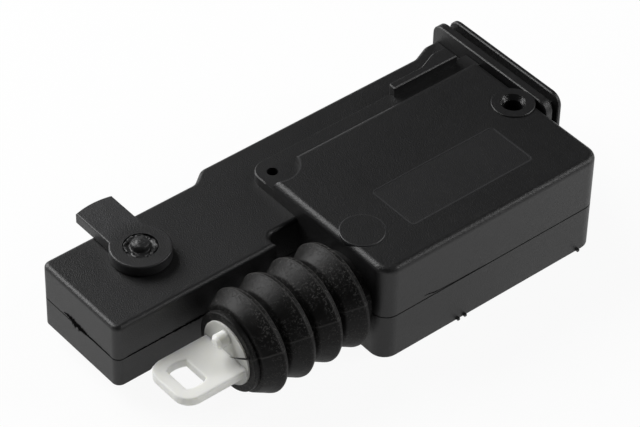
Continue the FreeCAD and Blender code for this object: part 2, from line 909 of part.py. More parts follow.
def pinion_z():
    """Underside of the rack gear's pinion, clear above the crown gear's teeth."""
    return crown_pitch_z + train_module * addendum + free_gap


def centre_angle():
    """Direction from the rack gear's axis to the crown gear's axis, in degrees."""
    return math.degrees(math.atan2(crown_pos.y - rack_gear_pos.y, crown_pos.x - rack_gear_pos.x))


def rack_gear():
    """The pinion that drives the rack, with its wheel above."""
    pinion = gear(rack_module, rack_gear_teeth, -90, pinion_z(), rack_top, rack_gear_pos)
    wheel = gear(train_module, wheel_teeth, centre_angle(), wheel_z, wheel_top, rack_gear_pos)
    hub = rod(gear_hub_r, V(rack_gear_pos.x, rack_gear_pos.y, rack_top), V(0, 0, 1), wheel_z - rack_top)
    bore = rod(pin_r + running_clearance, V(rack_gear_pos.x, rack_gear_pos.y, 0), V(0, 0, 1), box_top)
    return one(fuse(pinion, hub, wheel).cut(bore))


def crown_tooth():
    """One radial tooth of the crown gear, standing on its disc, pointing along +X."""
    height = train_module * (addendum + dedendum)
    slope = math.tan(math.radians(pressure_angle))
    sections = []
    for r in (crown_r - crown_tooth_length / 2, crown_r + crown_tooth_length / 2):
        middle_half = math.pi * r / (2 * crown_teeth) - flank_clearance / 2 * r / crown_r
        foot = middle_half + train_module * dedendum * slope
        tip = middle_half - train_module * addendum * slope
        z = crown_disc_top
        sunk = z - tooth_root_overlap
        points = [V(r, -foot, sunk), V(r, foot, sunk), V(r, tip, z + height), V(r, -tip, z + height)]
        sections.append(Part.makePolygon(points + points[:1]))
    return Part.makeLoft(sections, True, True)


def crown_gear():
    """A disc with radial teeth for the motor's pinion, and a small pinion for the wheel."""
    outer = crown_r + crown_tooth_length / 2
    disc = rod(outer, V(crown_pos.x, crown_pos.y, crown_disc_z), V(0, 0, 1), crown_disc_thickness)
    hub = rod(crown_hub_r, V(crown_pos.x, crown_pos.y, crown_disc_top), V(0, 0, 1), wheel_z - crown_disc_top)
    phase = centre_angle() + 180 + 180 / small_teeth
    pinion = gear(train_module, small_teeth, phase, wheel_z - free_gap, wheel_top, crown_pos)
    teeth = []
    for k in range(crown_teeth):
        tooth = crown_tooth()
        tooth.rotate(V(0, 0, 0), V(0, 0, 1), 180 + (k + 0.5) * 360 / crown_teeth)
        tooth.translate(V(crown_pos.x, crown_pos.y, 0))
        teeth.append(tooth)
    rim = rod(outer, V(crown_pos.x, crown_pos.y, crown_disc_z), V(0, 0, 1), box_top)
    teeth = fuse(*teeth).common(rim)
    bore = rod(pin_r + running_clearance, V(crown_pos.x, crown_pos.y, 0), V(0, 0, 1), box_top)
    return one(fuse(disc, hub, pinion, teeth).cut(bore))


def gear_pin(place):
    """A steel pin between the shells."""
    low, high = pin_span(place)
    pin = rod(pin_r, V(place.x, place.y, low), V(0, 0, 1), high - low)
    return bevel_where(pin, pin_bevel, lambda p: abs(p.z - high) < tiny)


def motor_pinion():
    """The pinion on the motor's shaft, pointing one tooth down into the crown gear."""
    wire = gear_wire(train_module, motor_teeth, -90)
    solid = Part.Face(wire).extrude(V(0, 0, crown_tooth_length))
    solid.Placement = FreeCAD.Placement(V(pinion_x, motor_y, motor_axis_z), facing_x)
    hub_start = V(pinion_x - motor_hub_length, motor_y, motor_axis_z)
    hub = rod(motor_pinion_r - train_module, hub_start, V(1, 0, 0), motor_hub_length)
    bore_start = V(pinion_x - motor_hub_length - past, motor_y, motor_axis_z)
    bore_length = motor_hub_length + crown_tooth_length + 2 * past
    bore = rod(shaft_r + pin_seat_clearance, bore_start, V(1, 0, 0), bore_length)
    return one(fuse(solid, hub).cut(bore))


def motor_shaft():
    """The motor's shaft, from inside the can to the bush."""
    start = motor_front - motor_length / 2
    return rod(shaft_r, V(start, motor_y, motor_axis_z), V(1, 0, 0), bush_start() + bush_length - start)


def motor_can():
    """The flat-sided can, with its front boss and a bore for the shaft."""
    can = motor_outline(0).common(box(motor_back, motor_front, y_leg, y_leg_far, 0, box_top))
    can = bevel_where(can, motor_bevel, lambda p: abs(p.x - motor_front) < tiny)
    boss = rod(motor_boss_r, V(motor_front, motor_y, motor_axis_z), V(1, 0, 0), motor_boss_length)
    bore_start = motor_front - motor_length / 2 - free_gap
    bore = rod(shaft_r + shaft_fit, V(bore_start, motor_y, motor_axis_z), V(1, 0, 0), motor_length)
    return one(can.fuse(boss).cut(bore))


def motor_cap():
    """The plastic cap that closes the can and carries the brushes."""
    start = motor_back - motor_cap_thickness
    cap = motor_outline(-motor_cap_step).common(box(start, motor_back, y_leg, y_leg_far, 0, box_top))
    return one(bevel_where(cap, motor_bevel, lambda p: abs(p.x - start) < tiny))


def shaft_bush():
    """The sleeve that holds the shaft's free end."""
    x = bush_start()
    return tube(bush_r, shaft_r + shaft_fit, V(x, motor_y, motor_axis_z), V(1, 0, 0), bush_length)


def rack_bar():
    """The toothed bar inside the box."""
    pitch = math.pi * rack_module
    tip_y = rack_pitch_y + rack_module * addendum
    root_y = rack_pitch_y - rack_module * dedendum
    slope = math.tan(math.radians(pressure_angle))
    half = pitch / 4 - flank_clearance / 2
    foot = half + rack_module * dedendum * slope
    tip = half - rack_module * addendum * slope
    points = [V(x_shoulder, root_y, 0)]
    first = math.ceil((x_shoulder + rack_teeth_lead + foot - rack_gear_pos.x) / pitch - 0.5)
    last = math.floor((x_bar_end - foot - rack_gear_pos.x) / pitch - 0.5)
    for k in range(first, last + 1):
        middle = rack_gear_pos.x + (k + 0.5) * pitch
        points.append(V(middle - foot, root_y, 0))
        points.append(V(middle - tip, tip_y, 0))
        points.append(V(middle + tip, tip_y, 0))
        points.append(V(middle + foot, root_y, 0))
    back_y = y_rod - rack_bar_back
    points += [V(x_bar_end, root_y, 0), V(x_bar_end, back_y, 0), V(x_shoulder, back_y, 0)]
    return prism(Part.makePolygon(points + points[:1]), rack_bottom, rack_top)


def tab_slot(gap):
    """The tongue by which the eye tab sits in the rod, grown by a gap."""
    z = rod_z - tab_drop
    half = tongue_width / 2 + gap
    thick = tab_thickness / 2 + gap
    stop = x_collar + tongue_length + gap
    return box(x_collar - past, stop, y_rod - half, y_rod + half, z - thick, z + thick)


def slider_rod():
    """The nylon rod: collar and knob in the bellows' mouth, groove for its lip, rod and rack."""
    x = x_collar
    sections = [
        (collar_r, collar_thickness),
        (cuff_groove_r, cuff_groove_width),
        (cuff_flange_r, cuff_flange_width),
        (rod_r, x_shoulder - x_collar - collar_thickness - cuff_groove_width - cuff_flange_width),
    ]
    parts = []
    for radius, length in sections:
        parts.append(rod(radius, V(x, y_rod, rod_z), V(1, 0, 0), length))
        x += length
    knob = rod(knob_r, V(x_collar - knob_length, y_rod, rod_z + knob_rise), V(1, 0, 0), knob_length)
    knob = bevel_where(knob, knob_bevel, lambda p: abs(p.x - x_collar + knob_length) < tiny)
    solid = fuse(*parts, knob, rack_bar())
    return one(solid.cut(tab_slot(tongue_fit)))


def eye_tab():
    """The flat tab with the oblong eye that the lock's lever hooks into."""
    left = x_collar - tab_length
    z0 = rod_z - tab_drop - tab_thickness / 2
    z1 = z0 + tab_thickness
    half = tab_width / 2
    tab = prism(outline([
        (left, y_rod - half, tab_corner_r),
        (x_collar, y_rod - half, 0),
        (x_collar, y_rod + half, 0),
        (left, y_rod + half, tab_corner_r),
    ]), z0, z1)
    tab = tab.cut(eye_cut(left + eye_inset, z0, z1))

    def rim(p):
        return abs(p.x - x_collar) > tiny and (abs(p.z - z0) < tiny or abs(p.z - z1) < tiny)
    tab = fillet_where(tab, tab_edge_r, rim)
    tongue = tab_slot(0).common(box(x_collar - tab_edge_r, x_collar + tongue_length, y_near, 0, z0, z1))
    tab = tab.fuse(tongue)
    mouth_length = tab_length + tongue_length + 2 * past
    mouth = rod(collar_r, V(left - past, y_rod, rod_z), V(1, 0, 0), mouth_length)
    return one(tab.common(mouth))


def eye_cut(left, z0, z1):
    """The eye: flat across the pull, bowed at both ends."""
    right = left + eye_length
    flat = eye_flat / 2
    bow = eye_width / 2
    middle = (left + right) / 2
    edges = [
        Part.makeLine(V(left, y_rod - flat, 0), V(left, y_rod + flat, 0)),
        Part.Arc(V(left, y_rod + flat, 0), V(middle, y_rod + bow, 0), V(right, y_rod + flat, 0)).toShape(),
        Part.makeLine(V(right, y_rod + flat, 0), V(right, y_rod - flat, 0)),
        Part.Arc(V(right, y_rod - flat, 0), V(middle, y_rod - bow, 0), V(left, y_rod - flat, 0)).toShape(),
    ]
    return prism(Part.Wire(edges), z0 - past, z1 + past)


def fold_places():
    """Stations of the folds' crests along the rod."""
    return [x_collar + bellows_first + k * bellows_pitch for k in range(bellows_folds)]


def outer_folds(valley_r):
    """Each fold rises on a long slope to a narrow crest and falls steeply into the next valley."""
    points = []
    for x in fold_places():
        points += [
            (x - fold_foot - valley_width, valley_r),
            (x - fold_foot, bellows_r - fold_foot_drop),
            (x - fold_shoulder, bellows_r - fold_shoulder_drop),
            (x, bellows_r),
            (x + fold_nose, bellows_r - fold_nose_drop),
            (x + fold_brow, bellows_r - fold_brow_drop),
            (x + fold_back, valley_r),
        ]
    return points[1:]


def inner_folds(valley_r):
    """The folds from inside, one wall under the outer line."""
    points = []
    for x in fold_places():
        points += [
            (x - fold_foot + bellows_wall / 2, valley_r),
            (x - fold_foot + bellows_wall, bellows_r - fold_foot_drop - bellows_wall),
            (x - fold_shoulder, bellows_r - fold_shoulder_drop - bellows_wall),
            (x + fold_nose / 2, bellows_r - fold_nose_drop - bellows_wall),
            (x + fold_back - bellows_wall, valley_r),
        ]
    return points[2:]


def bellows():
    """Rubber bellows turned about the rod: a lip in the rod's groove, folds, and a cuff on the spigot."""
    groove = x_collar + collar_thickness
    groove_end = groove + cuff_groove_width
    flange_end = groove_end + cuff_flange_width + free_gap
    flange_bore = cuff_flange_r + bellows_gap
    lip_x = x_collar + lip_inset
    back = x_box - bellows_gap
    cuff_r = spigot_r + cuff_wall
    outer = [(lip_x, collar_r + bellows_gap), (lip_x, lip_r), (lip_x + lip_width, lip_r)]
    outer += outer_folds(cuff_r)
    outer.append((back, cuff_r))
    folds = inner_folds(cuff_r - bellows_wall)
    cuff_bore = spigot_r + bellows_gap
    inner = [(back, cuff_bore), (folds[-1][0], cuff_bore)] + folds[::-1]
    inner += [
        (flange_end, bellows_r - fold_foot_drop - bellows_wall),
        (flange_end, flange_bore),
        (groove_end - bellows_gap, flange_bore),
        (groove_end - bellows_gap, cuff_groove_r + bellows_gap),
        (groove + bellows_gap, cuff_groove_r + bellows_gap),
        (groove + bellows_gap, collar_r + bellows_gap),
    ]
    points = [V(x, y_rod + r, rod_z) for x, r in outer + inner]
    face = Part.Face(Part.makePolygon(points + points[:1]))
    return one(face.revolve(V(0, y_rod, rod_z), V(1, 0, 0), 360))


def stop_pad_front():
    """Rubber washer between the box's end wall and the slider's shoulder."""
    return tube(stop_pad_r, rod_r + free_gap, V(x_box + wall, y_rod, rod_z), V(1, 0, 0), stop_pad_thickness)


def stop_pad_rear():
    """Rubber block that the slider's end meets when it is drawn in."""
    x = x_bar_end + stroke + free_gap
    half = rack_bar_back - rear_pad_inset
    top = rear_pad_z + rear_pad_height
    return box(x, x + rear_pad_thickness, y_rod - half, y_rod + half, rear_pad_z, top)


def retaining_lever():
    """The lever that turns over the door's edge to hold the leg: round head, flat arm, post recess."""
    place = lever_place()
    z0 = leg_top + free_gap
    z1 = z0 + lever_thickness
    head = rod(lever_head_r, V(place.x, place.y, z0), V(0, 0, 1), lever_thickness)
    half = lever_arm_width / 2
    arm = box(place.x - half, place.x + half, place.y, place.y + lever_reach + past, z0, z1)
    arm = arm.common(rod(lever_reach, V(place.x, place.y, z0), V(0, 0, 1), lever_thickness))
    lever = one(head.fuse(arm))
    lever = fillet_where(lever, lever_edge_r, lambda p: abs(p.z - z1) < tiny)
    recess_floor = V(place.x, place.y, z1 - lever_recess_depth)
    recess = rod(lever_recess_r, recess_floor, V(0, 0, 1), lever_recess_depth + past)
    bore_start = V(place.x, place.y, z0 - past)
    bore = rod(post_r + running_clearance, bore_start, V(0, 0, 1), lever_thickness + 2 * past)
    return one(lever.cut(recess).cut(bore))


def lever_post():
    """The post that the lever turns on, with its melted head in the lever's recess."""
    place = lever_place()
    z1 = leg_top + free_gap + lever_thickness
    head_z = z1 - lever_recess_depth + free_gap
    post_length = post_root + free_gap + lever_thickness + post_rise
    post = rod(post_r, V(place.x, place.y, leg_top - post_root), V(0, 0, 1), post_length)
    post = bevel_where(post, post_bevel, lambda p: abs(p.z - z1 - post_rise) < tiny)
    head = rod(post_head_r, V(place.x, place.y, head_z), V(0, 0, 1), post_head_thickness)
    head = bevel_where(head, post_bevel, lambda p: abs(p.z - head_z - post_head_thickness) < tiny)
    return one(post.fuse(head))


def save(name, shape):
    """Writes one piece."""
    shape.exportStep("parts/" + name + ".step")


def main():
    os.makedirs("parts", exist_ok=True)
    base, cover = shells()
    pieces = {
        "housing_base": base,
        "housing_cover": cover,
        "connector_shroud": connector_shroud(),
        "switch_board": switch_board(),
        "wiper_spring": wiper_spring(),
        "rack_gear": rack_gear(),
        "rack_gear_pin": gear_pin(rack_gear_pos),
        "crown_gear": crown_gear(),
        "crown_gear_pin": gear_pin(crown_pos),
        "motor_can": motor_can(),
        "motor_cap": motor_cap(),
        "motor_shaft": motor_shaft(),
        "motor_pinion": motor_pinion(),
        "shaft_bush": shaft_bush(),
        "slider_rod": slider_rod(),
        "eye_tab": eye_tab(),
        "bellows": bellows(),
        "stop_pad_front": stop_pad_front(),
        "stop_pad_rear": stop_pad_rear(),
        "retaining_lever": retaining_lever(),
        "lever_post": lever_post(),
    }
    for i, blade in enumerate(terminals()):
        pieces["terminal_" + str(i + 1)] = blade
    for name, strip in zip(("motor_lead_1", "motor_lead_2"), motor_leads()):
        pieces[name] = strip
    for name, shape in pieces.items():
        save(name, shape)
        print(name, len(shape.Solids), shape.isValid(), round(shape.Volume, 1))


main()
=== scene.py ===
import json
import math

import bmesh
import bpy
from mathutils import Matrix, Vector, noise


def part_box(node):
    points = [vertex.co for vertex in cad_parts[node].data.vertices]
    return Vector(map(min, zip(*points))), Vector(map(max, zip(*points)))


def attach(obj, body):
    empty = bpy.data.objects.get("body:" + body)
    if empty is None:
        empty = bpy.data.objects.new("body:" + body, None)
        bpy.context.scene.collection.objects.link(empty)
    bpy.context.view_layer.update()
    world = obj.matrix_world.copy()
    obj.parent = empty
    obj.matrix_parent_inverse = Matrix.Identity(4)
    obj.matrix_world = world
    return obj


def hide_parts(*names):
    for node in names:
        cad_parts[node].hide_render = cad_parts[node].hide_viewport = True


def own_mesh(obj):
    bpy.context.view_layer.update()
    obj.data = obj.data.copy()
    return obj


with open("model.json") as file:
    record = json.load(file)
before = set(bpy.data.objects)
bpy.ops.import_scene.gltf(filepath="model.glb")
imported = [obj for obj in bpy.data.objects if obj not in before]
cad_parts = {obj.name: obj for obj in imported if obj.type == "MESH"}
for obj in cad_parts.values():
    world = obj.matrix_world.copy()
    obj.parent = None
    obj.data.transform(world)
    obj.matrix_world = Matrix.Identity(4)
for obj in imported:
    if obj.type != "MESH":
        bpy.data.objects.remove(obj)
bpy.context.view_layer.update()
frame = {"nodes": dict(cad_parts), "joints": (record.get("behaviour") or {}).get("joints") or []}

bl_info = {
    "name": "Door lock actuator looks",
    "version": (1, 0, 0),
    "blender": (4, 5, 0),
    "location": "View3D > Sidebar > Lock Actuator",
    "description": "Dresses the packed lock actuator: moulded plastic, rubber bellows, nylon eye, studio",
    "category": "Object",
}

MM = 0.001
MERGE = 1e-7
NODES = frame["nodes"]
STROKE = next(j["range_m"][1] for j in frame["joints"] if j["name"] == "slider_slide")

# Stations along the rod: the box's face, the bellows' mouth and the start of its folds
BOX_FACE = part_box("bellows")[1].x
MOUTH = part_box("bellows")[0].x - 0.4 * MM
FOLDS_START = MOUTH + 1.95 * MM

# Places on the housing, in millimetres
BOX_TOP = 25.9
PATCH = (-44.4, -9.4, -16.8, -3.2)
PATCH_CORNER = 1.0
DISC = (-54.2, -11.6)
DISC_R = 5.1
FIXING = (0.0, 0.0)
SINK_R = 3.0
PLATE_HOLE = (-55.6, 17.4)
NOTCH_R = 6.2
LEVER_AXIS = (-93.2, 15.75)
LEG_END = -111.3
LEG_SIDE = 0.5
BOX_SIDE = -25.3
LEG_RIM = ((-103.2, 0.56, 5.0), (-68.2, 2.2, 6.75))

# Lever post in millimetres: radius and height from the foot up to the knobby top
POST_LINE = (
    (0.0, 16.3), (1.7, 16.3), (1.7, 23.35), (3.6, 23.35), (3.8, 23.6), (3.78, 24.0),
    (3.5, 24.16), (3.1, 24.05), (2.7, 23.85), (2.25, 23.9), (2.15, 24.2), (2.05, 24.95),
    (1.8, 25.3), (1.1, 25.4), (0.85, 25.6), (0.0, 25.75),
)
MELT_START = 23.5
MELT_RING_R = 2.2

# Open places of the seam in millimetres: points on the wall, each with half the gap's width
END_GASH = (
    ((LEG_END, 19.4, 12.5), 0.08), ((LEG_END, 17.8, 12.8), 0.35), ((LEG_END, 16.6, 12.6), 0.75),
    ((LEG_END, 15.2, 12.1), 0.95), ((LEG_END, 13.8, 12.0), 0.75), ((LEG_END, 12.4, 12.0), 0.55),
    ((LEG_END, 11.0, 12.0), 0.3), ((LEG_END, 9.3, 12.1), 0.18), ((LEG_END, 3.0, 12.05), 0.06),
)
SIDE_GAP = (
    ((-108.5, LEG_SIDE, 12.05), 0.05), ((-104.0, LEG_SIDE, 12.0), 0.16), ((-98.0, LEG_SIDE, 12.0), 0.22),
    ((-92.0, LEG_SIDE, 11.95), 0.26), ((-87.0, LEG_SIDE, 11.9), 0.3), ((-80.0, LEG_SIDE, 11.9), 0.2),
)
BOX_SCAR = (
    ((-47.7, BOX_SIDE, 13.0), 0.03), ((-46.4, BOX_SIDE, 12.9), 0.1), ((-45.0, BOX_SIDE, 12.5), 0.1),
    ((-43.6, BOX_SIDE, 12.35), 0.07), ((-38.0, BOX_SIDE, 12.1), 0.05), ((-30.0, BOX_SIDE, 12.02), 0.03),
)

# Bellows in millimetres. A fold is (distance from its crest, drop from the crest's radius), where
# None stands for the valley. The bores and the lip are (distance from the mouth, radius), and the
# sliver is (point, half width, half thickness).
OUTER_FOLD = ((-4.7, None), (-4.1, 2.2), (-0.6, 0.25), (0, 0), (0.7, 0.3), (1.2, 0.8), (2.3, None))
INNER_FOLD = ((-3.55, None), (-3.0, 2.2), (-0.6, 0.25), (0.35, 0.3), (1.2, None))
FOLDS = 4
WALL = 1.1
LIP_R = 9.3
CUFF_BORE_R = 7.65
GROOVE_BORE_R = 6.65
ROD_BORE = ((4.7, 9.2), (4.7, 7.25), (3.35, 7.25), (3.35, GROOVE_BORE_R))
LIP_OUTSIDE = ((0.4, 7.55), (0.4, 9.4), (1.5, 9.4), (1.9, LIP_R))
LIP_INSIDE = ((1.9, GROOVE_BORE_R), (1.65, GROOVE_BORE_R), (1.65, 7.55))
SLIVER = (
    ((-91.9, -19.9, 16.9), 0.5, 0.2), ((-92.5, -19.3, 16.75), 0.42, 0.16), ((-93.2, -18.4, 16.6), 0.28, 0.13),
    ((-94.0, -17.5, 16.6), 0.16, 0.1), ((-94.6, -16.7, 16.7), 0.04, 0.05),
)

# Millimetres behind each fold's crest: the fine mould lines, and the stretch with the parting line
RIDGES = (-0.2, 0.75)
PARTING_SPAN = (-4.3, 1.3)


# Sizes and colours that a user would change


class HousingLooks(bpy.types.PropertyGroup):
    colour: bpy.props.FloatVectorProperty(
        name="Housing colour", description="Black of the moulded housing", subtype="COLOR",
        size=3, min=0, max=1, default=(0.0065, 0.0065, 0.0068),
    )
    roughness: bpy.props.FloatProperty(
        name="Housing roughness", description="Blur of the reflections on the housing",
        subtype="FACTOR", min=0, max=1, default=0.42,
    )
    grain: bpy.props.FloatProperty(
        name="Grain size", description="Size of the moulded grain", unit="LENGTH", default=0.0003,
    )
    relief: bpy.props.FloatProperty(
        name="Grain depth", description="Depth of the moulded grain", unit="LENGTH", default=0.00008,
    )


class BellowsLooks(bpy.types.PropertyGroup):
    colour: bpy.props.FloatVectorProperty(
        name="Rubber colour", description="Black of the rubber", subtype="COLOR",
        size=3, min=0, max=1, default=(0.007, 0.0068, 0.0066),
    )
    crest: bpy.props.FloatProperty(
        name="Fold radius", description="Radius over the folds", unit="LENGTH", default=0.0125,
    )
    valley: bpy.props.FloatProperty(
        name="Valley radius", description="Radius between the folds", unit="LENGTH", default=0.009,
    )
    pitch: bpy.props.FloatProperty(
        name="Fold pitch", description="Distance from fold to fold", unit="LENGTH", default=0.0075,
    )
    first: bpy.props.FloatProperty(
        name="First fold", description="Distance from the mouth to the first fold's crest",
        unit="LENGTH", default=0.0063,
    )
    ridge: bpy.props.FloatProperty(
        name="Mould line height", description="Height of the fine mould lines", unit="LENGTH",
        default=0.00012,
    )
    unevenness: bpy.props.FloatProperty(
        name="Unevenness", description="How far the rubber strays from a true turned form", unit="LENGTH",
        default=0.00008,
    )


class NylonLooks(bpy.types.PropertyGroup):
    colour: bpy.props.FloatVectorProperty(
        name="Nylon colour", description="White of the slider and the eye", subtype="COLOR",
        size=3, min=0, max=1, default=(0.90, 0.90, 0.86),
    )
    # The collar's darkening is painted shade inside the bellows' mouth.
    collar: bpy.props.FloatProperty(
        name="Collar brightness", description="Share of the nylon's white that its collar keeps",
        subtype="FACTOR", min=0, max=1, default=0.65,
    )


class StageLooks(bpy.types.PropertyGroup):
    floor: bpy.props.FloatVectorProperty(
        name="Floor colour", description="Colour of the floor and the backdrop", subtype="COLOR",
        size=3, min=0, max=1, default=(0.9, 0.9, 0.9),
    )
    world: bpy.props.FloatProperty(
        name="World strength", description="Light from all round", min=0, max=2, default=0.06,
    )
    focal: bpy.props.FloatProperty(
        name="Focal length", description="Focal length of the camera, in millimetres", default=173.89,
    )


GROUPS = (
    ("actuator_housing", HousingLooks),
    ("actuator_bellows", BellowsLooks),
    ("actuator_nylon", NylonLooks),
    ("actuator_stage", StageLooks),
)


# Shader maths


class Value:
    """A number in a material's nodes, with sums written as sums."""

    def __init__(self, paint, socket):
        self.paint = paint
        self.socket = socket

    def _sum(self, operation, first, second):
        return self.paint.add("ShaderNodeMath", {"operation": operation}, {0: first, 1: second})

    def __add__(self, other):
        return self._sum("ADD", self, other)

    __radd__ = __add__

    def __sub__(self, other):
        return self._sum("SUBTRACT", self, other)

    def __rsub__(self, other):
        return self._sum("SUBTRACT", other, self)

    def __mul__(self, other):
        return self._sum("MULTIPLY", self, other)

    __rmul__ = __mul__

    def __pow__(self, other):
        return self._sum("POWER", self, other)

    def __abs__(self):
        return self._sum("ABSOLUTE", self, 0.0)

    def fraction(self):
        return self._sum("FRACT", self, 0.0)

    def largest(self, other):
        return self._sum("MAXIMUM", self, other)

    def smallest(self, other):
        return self._sum("MINIMUM", self, other)

    def step(self, start, stop):
        """Rises smoothly from 0 to 1 between two values, or falls where the first is the larger."""
        return self.paint.add(
            "ShaderNodeMapRange", {"interpolation_type": "SMOOTHSTEP"},
            {"Value": self, "From Min": start, "From Max": stop},
        )


class Paint:
    """A material that is being written, with one way to add any node."""

    def __init__(self, name):
        self.material = bpy.data.materials.new(name)
        self.material.use_nodes = True
        self.tree = self.material.node_tree
        self.tree.nodes.clear()
        self.output = self.tree.nodes.new("ShaderNodeOutputMaterial")
        self.shader = self.tree.nodes.new("ShaderNodeBsdfPrincipled")
        self.tree.links.new(self.shader.outputs[0], self.output.inputs["Surface"])
        place = self.tree.nodes.new("ShaderNodeTexCoord")
        self.place = Value(self, place.outputs["Object"])

    def put(self, socket, value):
        """Links a value to a socket, or sets the socket's constant."""
        if isinstance(value, Value):
            self.tree.links.new(value.socket, socket)
        elif hasattr(socket.default_value, "__len__") and len(socket.default_value) == 4 and len(value) == 3:
            socket.default_value = (*value, 1)
        else:
            socket.default_value = value

    def add(self, kind, settings, inputs, output=0):
        """Adds a node with its settings and inputs, and gives one of its outputs."""
        node = self.tree.nodes.new(kind)
        for key, value in settings.items():
            if key == "stops":
                ramp = node.color_ramp
                for i, (position, level) in enumerate(value):
                    stop = ramp.elements[i] if i < 2 else ramp.elements.new(position)
                    stop.position = position
                    stop.color = (level, level, level, 1)
            else:
                setattr(node, key, value)
        for key, value in inputs.items():
            self.put(node.inputs[key], value)
        return Value(self, node.outputs[output])

    def fix(self, **sockets):
        """Sets the shader's sockets, named in lower case with underscores."""
        for name, value in sockets.items():
            self.put(self.shader.inputs[name.replace("_", " ").title().replace("Ior", "IOR")], value)

    def axis(self, index):
        """One of the three coordinates, in metres."""
        return self.add("ShaderNodeSeparateXYZ", {}, {"Vector": self.place}, index)

    def axis_mm(self, index):
        """One of the three coordinates, in millimetres."""
        return self.axis(index) * (1 / MM)

    def noise(self, size, detail=2.0, roughness=0.5, stretch=(1, 1, 1)):
        """Cloudy noise whose features are about size across, from 0 to 1."""
        stretched = self.add("ShaderNodeMapping", {}, {"Vector": self.place, "Scale": stretch})
        return self.add(
            "ShaderNodeTexNoise", {},
            {"Vector": stretched, "Scale": 1 / size, "Detail": detail, "Roughness": roughness},
        )

    def ramp(self, value, *stops):
        """Maps a value by stops of (position, level)."""
        return self.add("ShaderNodeValToRGB", {"stops": stops}, {"Fac": value})

    def mix(self, factor, first, second):
        """Blends two colours, from the first at 0 to the second at 1."""
        node = self.tree.nodes.new("ShaderNodeMix")
        node.data_type = "RGBA"
        self.put(node.inputs["Factor"], factor)
        for name, value in (("A", first), ("B", second)):
            socket = next(s for s in node.inputs if s.name == name and s.type == "RGBA")
            self.put(socket, value)
        return Value(self, next(s for s in node.outputs if s.type == "RGBA"))

    def away_from(self, middle):
        """Distance in millimetres from an upright axis."""
        x = self.axis_mm(0) - middle[0]
        y = self.axis_mm(1) - middle[1]
        return (x ** 2 + y ** 2) ** 0.5

    def inside(self, edges, corner):
        """How far in millimetres a place lies inside a rectangle with round corners, seen from above."""
        x0, x1, y0, y1 = edges
        x = (abs(self.axis_mm(0) - (x0 + x1) / 2) - ((x1 - x0) / 2 - corner)).largest(0)
        y = (abs(self.axis_mm(1) - (y0 + y1) / 2) - ((y1 - y0) / 2 - corner)).largest(0)
        return corner - (x ** 2 + y ** 2) ** 0.5

    def bump(self, height, depth):
        """A normal that is tilted by a height, where 1 stands for a depth in metres."""
        return self.add("ShaderNodeBump", {}, {"Height": height, "Distance": depth, "Strength": 1.0})


def scaled(colour, factor):
    """The colour, made lighter or darker."""
    return tuple(c * factor for c in colour)


# Materials


def moulded_plastic(name, colour, roughness, grain, relief, marks=None):
    """Black moulded plastic: fine spark-eroded grain, faint flow clouds, pale rubbed spots and specks."""
    paint = Paint(name)
    fine = paint.noise(grain, detail=2, roughness=0.6)
    coarse = paint.noise(grain * 4, detail=3, roughness=0.6)
    clouds = paint.noise(20 * MM, detail=3, roughness=0.55)
    rubs = paint.ramp(paint.noise(4 * MM, detail=6, roughness=0.7), (0.55, 0), (0.78, 1))
    specks = paint.noise(1.1 * MM, detail=3, roughness=0.9).step(0.70, 0.76)
    dark = paint.mix(clouds, scaled(colour, 0.8), scaled(colour, 1.25))
    worn = paint.mix(rubs * 0.35, dark, scaled(colour, 2.4))
    # The marks give pale places, on the cover also painted highlights along edges, and shine that lowers the
    # roughness.
    pale, shine = marks(paint) if marks else (0.0, 0.0)
    paint.fix(
        base_color=paint.mix((specks * 0.5).largest(pale), worn, scaled(colour, 8)),
        roughness=(roughness - 0.06 + 0.1 * coarse + 0.05 * clouds - shine).largest(0.12),
        normal=paint.bump(fine + 0.25 * coarse, relief),
    )
    return paint.material


def cover_patch_and_highlights(paint):
    """Pale patch, painted highlights along the patch's edge, the disc's rim and the small hole's notch, and a
    shiny screw sink.
    """

    def line_at(distance):
        """A thin line where a distance is near zero."""
        return abs(distance).step(0.3, 0.12)

    on_top = paint.axis_mm(2).step(BOX_TOP - 0.4, BOX_TOP - 0.3)
    inside = paint.inside(PATCH, PATCH_CORNER)
    patch = inside.step(-0.1, 0.1)
    # Painted highlights: thin pale lines along the patch's edge, the disc's rim and the notch's edge, where
    # rounded edges catch the light.
    outline = abs(inside).step(0.3, 0.1)
    rim = line_at(paint.away_from(DISC) - DISC_R)
    notch = line_at(paint.away_from(PLATE_HOLE) - NOTCH_R)
    sink = paint.away_from(FIXING).step(SINK_R + 0.1, SINK_R - 0.1)
    return on_top * (0.1 * patch + 0.5 * (outline + rim + notch)).smallest(1), 0.22 * sink


def lever_marks(paint):
    """The lever's arm is rubbed paler than its head."""
    patches = paint.noise(3 * MM, detail=4, roughness=0.6)
    return paint.away_from(LEVER_AXIS).step(5.0, 9.0) * (0.1 + 0.3 * patches), 0.0


def rubber(name, colour, folds=None):
    """Moulded rubber with faint scuffs, pale dust that gathers at the folds' crests and mould lines, and a
    painted highlight along the mould's parting.
    """
    paint = Paint(name)
    patches = paint.noise(6 * MM, detail=4, roughness=0.6)
    skin = paint.noise(0.3 * MM, detail=2, roughness=0.6)
    specks = paint.noise(0.5 * MM, detail=3, roughness=0.85).step(0.54, 0.62)
    dust_and_highlight = specks * patches.step(0.36, 0.64) * 0.65
    if folds:
        # The folds add their dust and the painted highlight along the parting.
        dust_and_highlight = dust_and_highlight.largest(fold_dust_and_highlight(paint, folds, patches, specks))
    base = paint.mix(patches, scaled(colour, 0.5), scaled(colour, 1.3))
    paint.fix(
        base_color=paint.mix(dust_and_highlight, base, scaled(colour, 15)),
        roughness=0.36 + 0.26 * patches + 0.2 * dust_and_highlight,
        normal=paint.bump(skin + 2 * patches + 2 * dust_and_highlight, 0.04 * MM),
        specular_ior_level=0.18,
    )
    return paint.material


